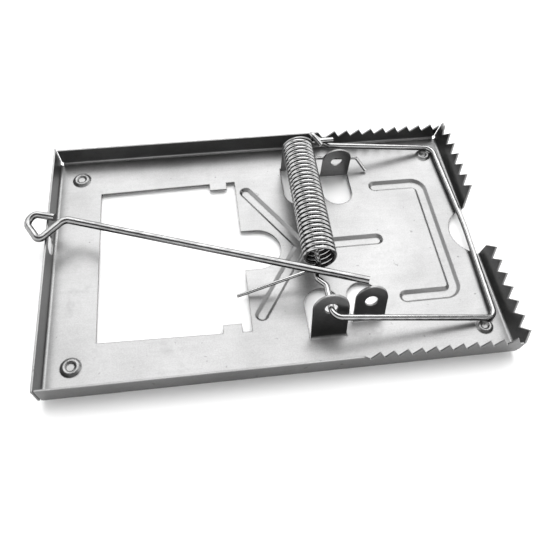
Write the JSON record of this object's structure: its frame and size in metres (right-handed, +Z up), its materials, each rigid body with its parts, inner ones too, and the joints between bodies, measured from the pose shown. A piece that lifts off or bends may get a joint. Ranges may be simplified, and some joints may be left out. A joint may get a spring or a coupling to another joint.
{
  "type": "mouse trap",
  "caption": "All-metal snap trap: folded tray with saw-toothed walls, wire striker bail on a cranked axle, long torsion spring and hooked trigger rod.",
  "frame": {"origin": "middle of the tray's length and width, on the table that it stands on", "axes": "+X along the tray's length from the trigger rod's hook to the toothed end, +Y across it to the side where the spring's hooked leg lies, +Z up"},
  "size_m": [0.1509, 0.0921, 0.0192],
  "materials": {
    "zinc_sheet": "satin bright zinc plate",
    "bail_wire": "polished wire",
    "spring_wire": "polished spring wire",
    "rod_wire": "drawn wire"
  },
  "bodies": {
    "trap": {"base_tray": "zinc_sheet", "torsion_spring": "spring_wire"},
    "striker": {"striker_bail": "bail_wire"},
    "trigger": {"trigger_rod": "rod_wire"}
  },
  "joints": [
    {"name": "striker_swing", "type": "hinge", "parent": "trap", "child": "striker", "pos_m": [0.0145, 0, 0.0135], "axis": [0, -1, 0], "range_deg": [0, 178], "stiffness_Nm_per_rad": 0.06, "springref_deg": -34.38},
    {"name": "trigger_lift", "type": "hinge", "parent": "trap", "child": "trigger", "pos_m": [-0.07105, 0, 0.0085], "axis": [0, -1, 0], "range_deg": [0, 46]}
  ]
}
